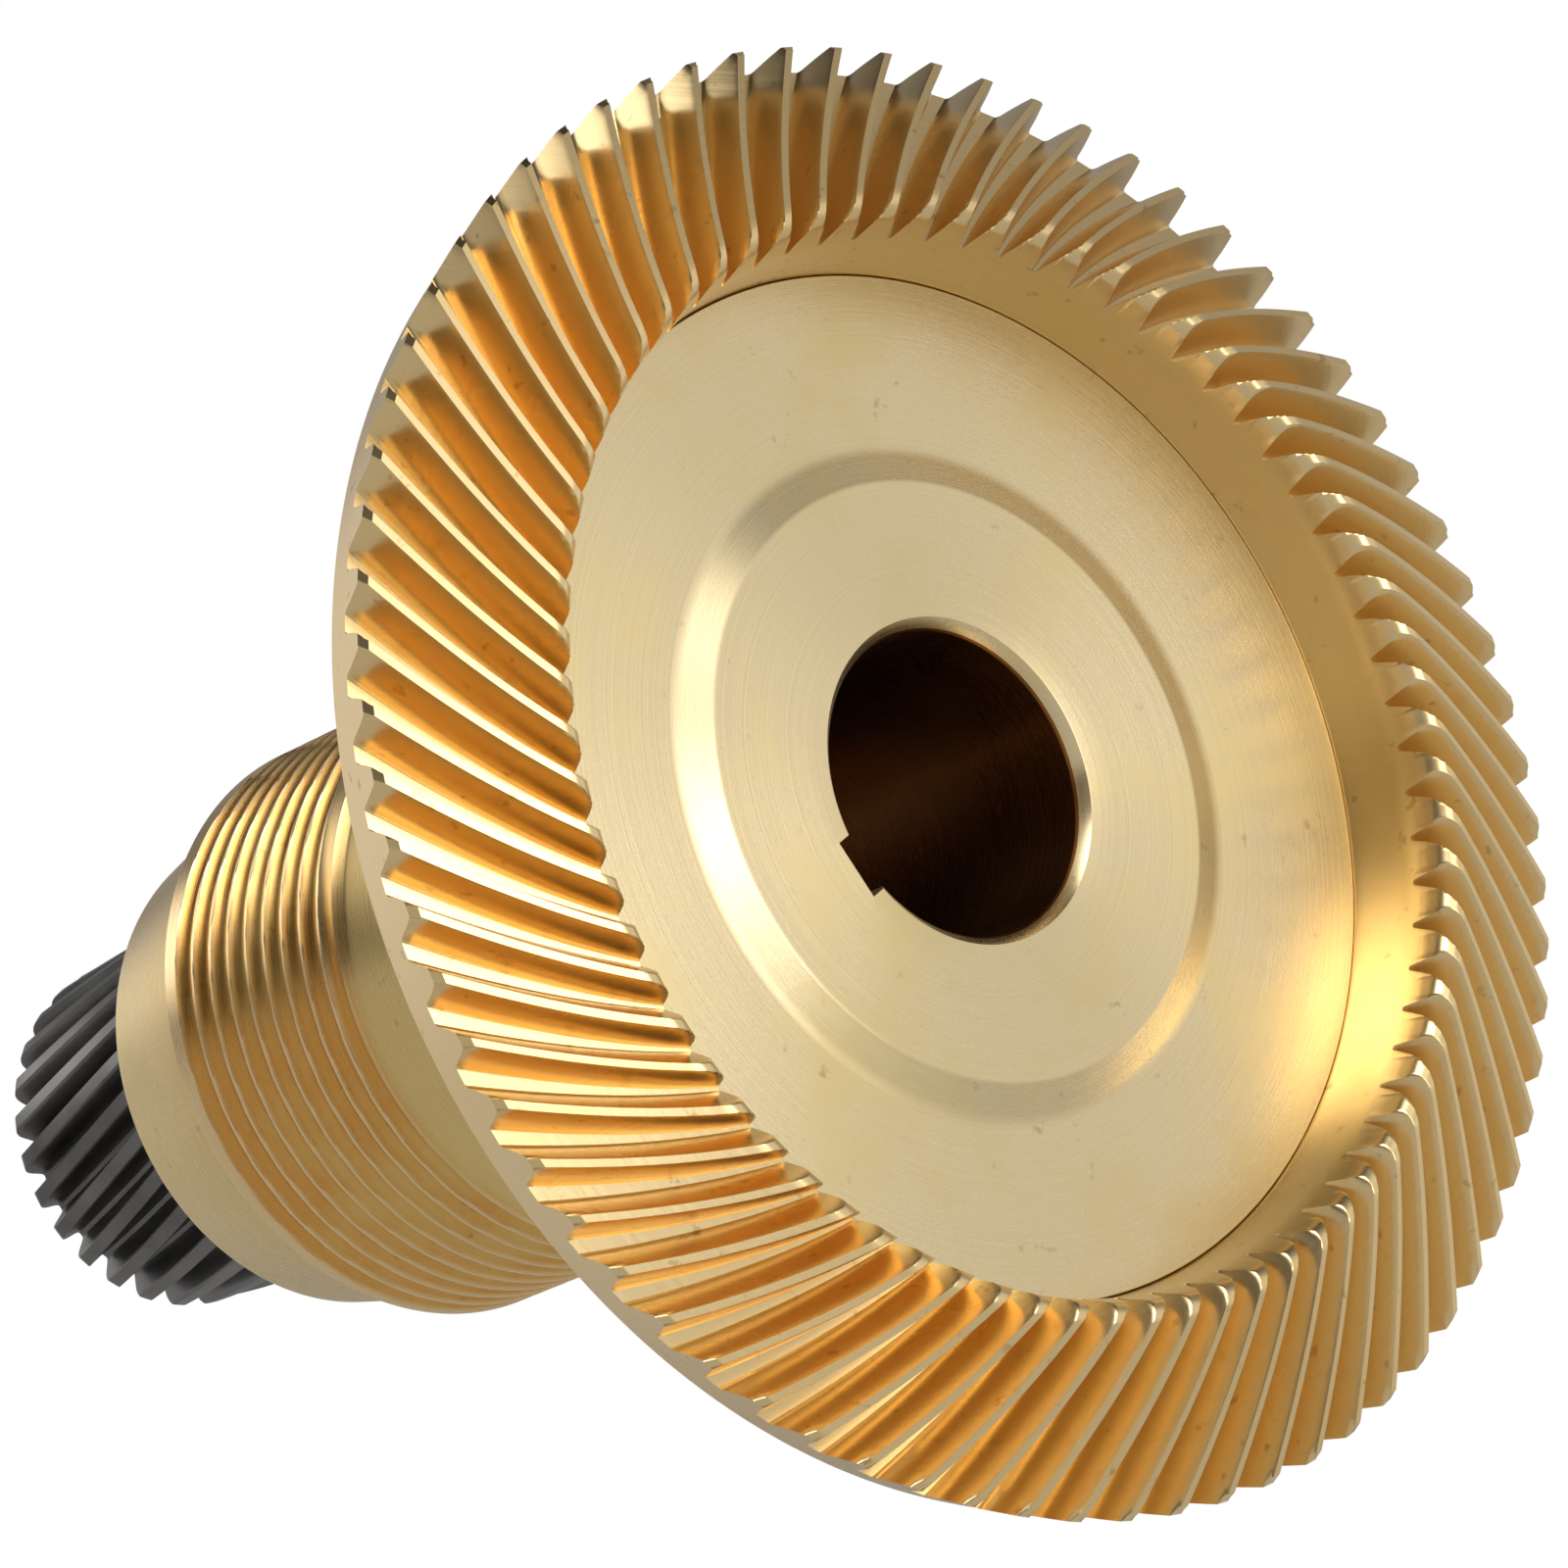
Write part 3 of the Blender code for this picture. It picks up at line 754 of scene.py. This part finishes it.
def tooth_metal(name, color, tarnish, roughness):
    """Cut gear teeth: cutter marks along the flanks, amber tarnish in patches and small pits."""
    n = Nodes(name)
    n.shader.inputs["Metallic"].default_value = 1.0
    radius, along = n.radius()
    slant = n.math("MULTIPLY_ADD", along, -0.36, radius)
    cuts = n.noise(900.0, 3.0, 0.6, dimensions="1D", w=slant)
    clouds = n.noise(24.0, 3.0, 0.5)
    pits = n.noise(420.0, 2.0, 0.5)
    stain = n.ramp(clouds, [(0.42, (0, 0, 0)), (0.72, (1, 1, 1))])
    base = n.mix(n.math("MULTIPLY", stain, 0.25), color, tarnish)
    dots = n.ramp(pits, [(0.25, (0.5, 0.38, 0.25)), (0.33, (1, 1, 1))])
    n.link(n.mix(0.5, base, dots, "MULTIPLY"), n.shader.inputs["Base Color"])
    n.link(n.math("MULTIPLY_ADD", clouds, 0.14, roughness - 0.06), n.shader.inputs["Roughness"])
    n.link(n.bump(cuts, 0.5, 0.00003), n.shader.inputs["Normal"])
    return n.material


def dark_steel(name, color, roughness, mark_depth=0.00003):
    """Hardened or blackened steel with hazy oil film and fine scratches."""
    n = Nodes(name)
    n.shader.inputs["Metallic"].default_value = 1.0
    clouds = n.noise(60.0, 4.0, 0.6)
    grain = n.noise(1500.0, 3.0, 0.6)
    lighter = tuple(min(c * 1.9, 1.0) for c in color)
    haze = n.ramp(clouds, [(0.35, (0, 0, 0)), (0.7, (1, 1, 1))])
    n.link(n.mix(haze, color, lighter), n.shader.inputs["Base Color"])
    n.link(n.math("MULTIPLY_ADD", clouds, 0.2, roughness - 0.1), n.shader.inputs["Roughness"])
    n.link(n.bump(grain, 0.3, mark_depth), n.shader.inputs["Normal"])
    return n.material


def finish_with(obj, material):
    obj.data.materials.clear()
    obj.data.materials.append(material)


# Assembly

def place(obj, body, slot, material, *nodes):
    finish_with(obj, material)
    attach(obj, body)
    if nodes:
        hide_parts(*nodes)


def build_pieces():
    tooth_bronze = tooth_metal("tooth_bronze", (0.84, 0.63, 0.32), (0.78, 0.50, 0.17), 0.26)
    # The hub's material carries painted light: a reflection tint zone by zone along the hub, painted shade
    # inside the bore and a painted highlight on the thread's crests.
    hub_bronze_painted_light = turned_metal(
        "hub_bronze_painted_light", (0.82, 0.67, 0.42), (0.80, 0.62, 0.24), 0.27, 2600.0, 0.00003,
        painted_tint_zones=HUB_PAINTED_TINT, bore=(0.0203, (0.40, 0.17, 0.05)), crests=THREAD_CREST_HIGHLIGHT,
    )
    bush_bronze = turned_metal("oiled_bronze", (0.45, 0.28, 0.13), (0.3, 0.17, 0.07), 0.35, 1800.0, 0.00002)
    ground = turned_metal("ground_steel_fine", (0.50, 0.49, 0.47), (0.38, 0.33, 0.27), 0.28, 2400.0, 0.00001)
    pinion_steel = dark_steel("pinion_dark_steel", (0.115, 0.11, 0.105), 0.36)
    black = dark_steel("blackened_steel", (0.07, 0.07, 0.075), 0.38)
    place(gear_ring(), "crown_gear", "crown_bronze", tooth_bronze, "crown_gear_ring")
    place(threaded_hub(), "crown_gear", "hub_bronze", hub_bronze_painted_light, "threaded_hub")
    place(helical_pinion(), "pinion_shaft", "pinion_steel", pinion_steel, "helical_pinion")
    for node in ("front_bush", "rear_bush"):
        bush = ring_piece(node + "_turned", node, INNER_BORE_RADIUS, 19.7, 0.4)
        place(bush, "crown_gear", "bush_bronze", bush_bronze, node)
    rear = ring_piece("rear_washer_ground", "rear_thrust_washer", INNER_BORE_RADIUS, 24.0, 0.25)
    place(rear, "crown_gear", "ground_steel", ground, "rear_thrust_washer")
    front = ring_piece("front_washer_ground", "front_thrust_washer", INNER_BORE_RADIUS, 18.5, 0.25)
    place(front, "pinion_shaft", "ground_steel", ground, "front_thrust_washer")
    end = ring_piece("end_washer_black", "pinion_end_washer", 4.3, 15.0, 0.5)
    place(end, "pinion_shaft", "black_steel", black, "pinion_end_washer")
    place(retaining_ring(), "pinion_shaft", "black_steel", black, "retaining_ring")
    place(cap_screw(), "pinion_shaft", "black_steel", black, "pinion_screw")
    finish_with(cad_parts["pinion_key"], ground)
    place(spindle(), "pinion_shaft", "ground_steel", ground, "pinion_spindle")


# Stage

# What the metal mirrors. Each panel is a direction, the cosines where it fades in and is full, and its
# strength over the room's own level, which is negative for a darker patch.
ROOM_LEVEL = 0.32
ROOM_DARKEST = 0.02
ROOM_PANELS = [
    ((0.04, -0.97, -0.12), (0.86, 0.98), 3.2),
    ((-0.05, -0.90, 0.42), (0.90, 0.98), 0.9),
    ((0.62, -0.68, 0.38), (0.85, 0.97), 0.42),
    ((-0.50, -0.60, 0.62), (0.93, 0.98), 4.5),
    ((-0.05, -0.35, -0.93), (0.88, 0.98), 1.2),
    ((-0.95, -0.25, 0.00), (0.65, 0.95), -0.24),
    ((-0.55, 0.73, 0.40), (0.95, 0.99), 2.0),
    ((0.02, 0.98, 0.14), (0.90, 0.97), 0.45),
    ((-0.30, 0.10, 0.95), (0.60, 0.95), -0.30),
    ((-0.05, 0.73, -0.68), (0.60, 0.95), -0.28),
    ((0.95, -0.18, 0.20), (0.85, 0.98), 0.30),
]

def studio_world():
    """A white room. Metal sees darker walls and bright panels in it, by direction, and the camera white."""
    world = bpy.data.worlds.new("studio")
    world.use_nodes = True
    tree = world.node_tree
    background = tree.nodes["Background"]
    place = tree.nodes.new("ShaderNodeTexCoord").outputs["Generated"]
    total = None
    for direction, tightness, strength in ROOM_PANELS:
        dot = tree.nodes.new("ShaderNodeVectorMath")
        dot.operation = "DOT_PRODUCT"
        dot.inputs[1].default_value = Vector(direction).normalized()
        tree.links.new(place, dot.inputs[0])
        ramp = tree.nodes.new("ShaderNodeMapRange")
        ramp.interpolation_type = "SMOOTHSTEP"
        ramp.inputs["From Min"].default_value = tightness[0]
        ramp.inputs["From Max"].default_value = tightness[1]
        ramp.inputs["To Min"].default_value = 0.0
        ramp.inputs["To Max"].default_value = strength
        tree.links.new(dot.outputs["Value"], ramp.inputs["Value"])
        if total is None:
            total = ramp.outputs["Result"]
            continue
        add = tree.nodes.new("ShaderNodeMath")
        add.operation = "ADD"
        tree.links.new(total, add.inputs[0])
        tree.links.new(ramp.outputs["Result"], add.inputs[1])
        total = add.outputs[0]
    base = tree.nodes.new("ShaderNodeMath")
    base.operation = "ADD"
    base.inputs[1].default_value = ROOM_LEVEL
    tree.links.new(total, base.inputs[0])
    low = tree.nodes.new("ShaderNodeMath")
    low.operation = "MAXIMUM"
    low.inputs[1].default_value = ROOM_DARKEST
    tree.links.new(base.outputs[0], low.inputs[0])
    seen = tree.nodes.new("ShaderNodeLightPath").outputs["Is Camera Ray"]
    shown = tree.nodes.new("ShaderNodeMix")
    shown.inputs[3].default_value = 1.0
    tree.links.new(seen, shown.inputs[0])
    tree.links.new(low.outputs[0], shown.inputs[2])
    tree.links.new(shown.outputs[0], background.inputs["Strength"])
    background.inputs["Color"].default_value = (1.0, 1.0, 1.0, 1.0)
    return world


def studio():
    scene = bpy.context.scene
    scene.view_settings.view_transform = "Standard"
    scene.world = studio_world()
    mesh = bpy.data.meshes.new("floor")
    half = 6.0
    floor_z = -0.62
    corners = [(x * half, y * half, floor_z) for x, y in ((-1, -1), (1, -1), (1, 1), (-1, 1))]
    mesh.from_pydata(corners, [], [(0, 1, 2, 3)])
    floor = bpy.data.objects.new("floor", mesh)
    bpy.context.collection.objects.link(floor)
    n = Nodes("pale_floor")
    n.shader.inputs["Roughness"].default_value = 0.8
    pale = n.ramp(n.noise(3.0), [(0.3, (0.80, 0.80, 0.80)), (0.7, (0.84, 0.84, 0.84))])
    n.link(pale, n.shader.inputs["Base Color"])
    finish_with(floor, n.material)


def camera():
    """The photograph's angle: from the front, 38 degrees to the left and 21 degrees below the axis."""
    data = bpy.data.cameras.new("camera")
    data.lens = 225.0
    data.sensor_width = 36.0
    data.clip_end = 50.0
    obj = bpy.data.objects.new("camera", data)
    bpy.context.collection.objects.link(obj)
    obj.location = (-0.7294, -0.8867, -0.4394)
    forward = Vector((0.57933, 0.73271, 0.35709))
    obj.rotation_euler = forward.to_track_quat("-Z", "Y").to_euler()
    bpy.context.scene.camera = obj


build_pieces()
studio()
camera()
bpy.context.view_layer.update()
